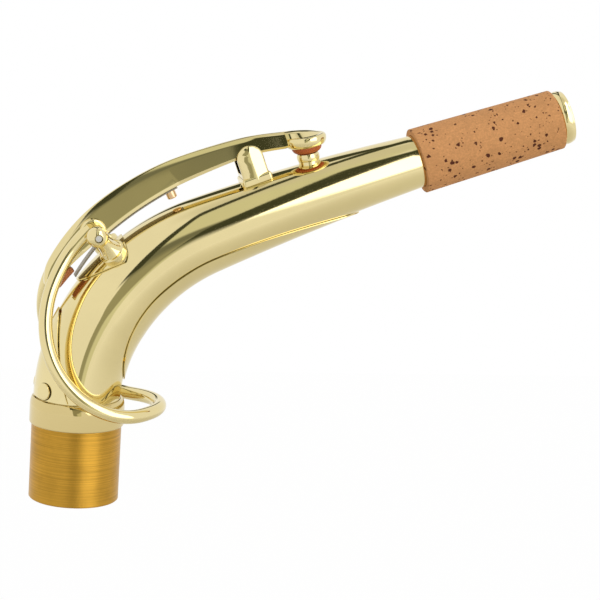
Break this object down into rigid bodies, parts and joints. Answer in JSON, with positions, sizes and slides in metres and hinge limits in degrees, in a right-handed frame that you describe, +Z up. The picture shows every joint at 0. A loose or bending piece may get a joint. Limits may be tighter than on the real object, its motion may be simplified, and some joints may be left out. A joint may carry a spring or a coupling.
{
  "type": "saxophone neck",
  "caption": "Bent conical brass saxophone neck with a plain tenon, a cork-covered mouthpiece end, and a sprung octave key whose wire ring encircles the tenon.",
  "frame": {"origin": "centre of the tenon's lower end face", "axes": "+Z up along the tenon axis, +X towards the mouthpiece end in the plane of the bend, +Y to the far side of the pictured view"},
  "size_m": [0.1472, 0.0358, 0.1163],
  "materials": {
    "lacquer": "polished, clear lacquer",
    "bare_brass": "fine turned, unlacquered",
    "steel": "turned",
    "spring_steel": "blued and oiled",
    "cork": "sanded sheet cork",
    "leather": "matt"
  },
  "bodies": {
    "neck": {"tenon": "bare_brass", "collar": "lacquer", "neck_tube": "lacquer", "mouthpiece_cork": "cork", "tip_ring": "lacquer", "underbrace": "lacquer", "back_plate": "lacquer", "plate_rivet_near": "lacquer", "plate_rivet_far": "lacquer", "saddle_plate": "lacquer", "post_near": "lacquer", "post_far": "lacquer", "hinge_rod": "steel", "key_guide": "lacquer", "octave_vent": "lacquer"},
    "octave_key": {"key_arm": "lacquer", "hinge_tube": "lacquer", "key_ring": "lacquer", "pad_cup": "lacquer", "octave_pad": "leather", "flat_spring": "spring_steel", "spring_screw": "bare_brass", "tail_cork": "cork"}
  },
  "joints": [
    {"name": "octave_key_hinge", "type": "hinge", "parent": "neck", "child": "octave_key", "pos_m": [0.00215, 0, 0.07372], "axis": [0, -1, 0], "range_deg": [0, 3], "stiffness_Nm_per_rad": 0.1, "springref_deg": -17.19}
  ]
}
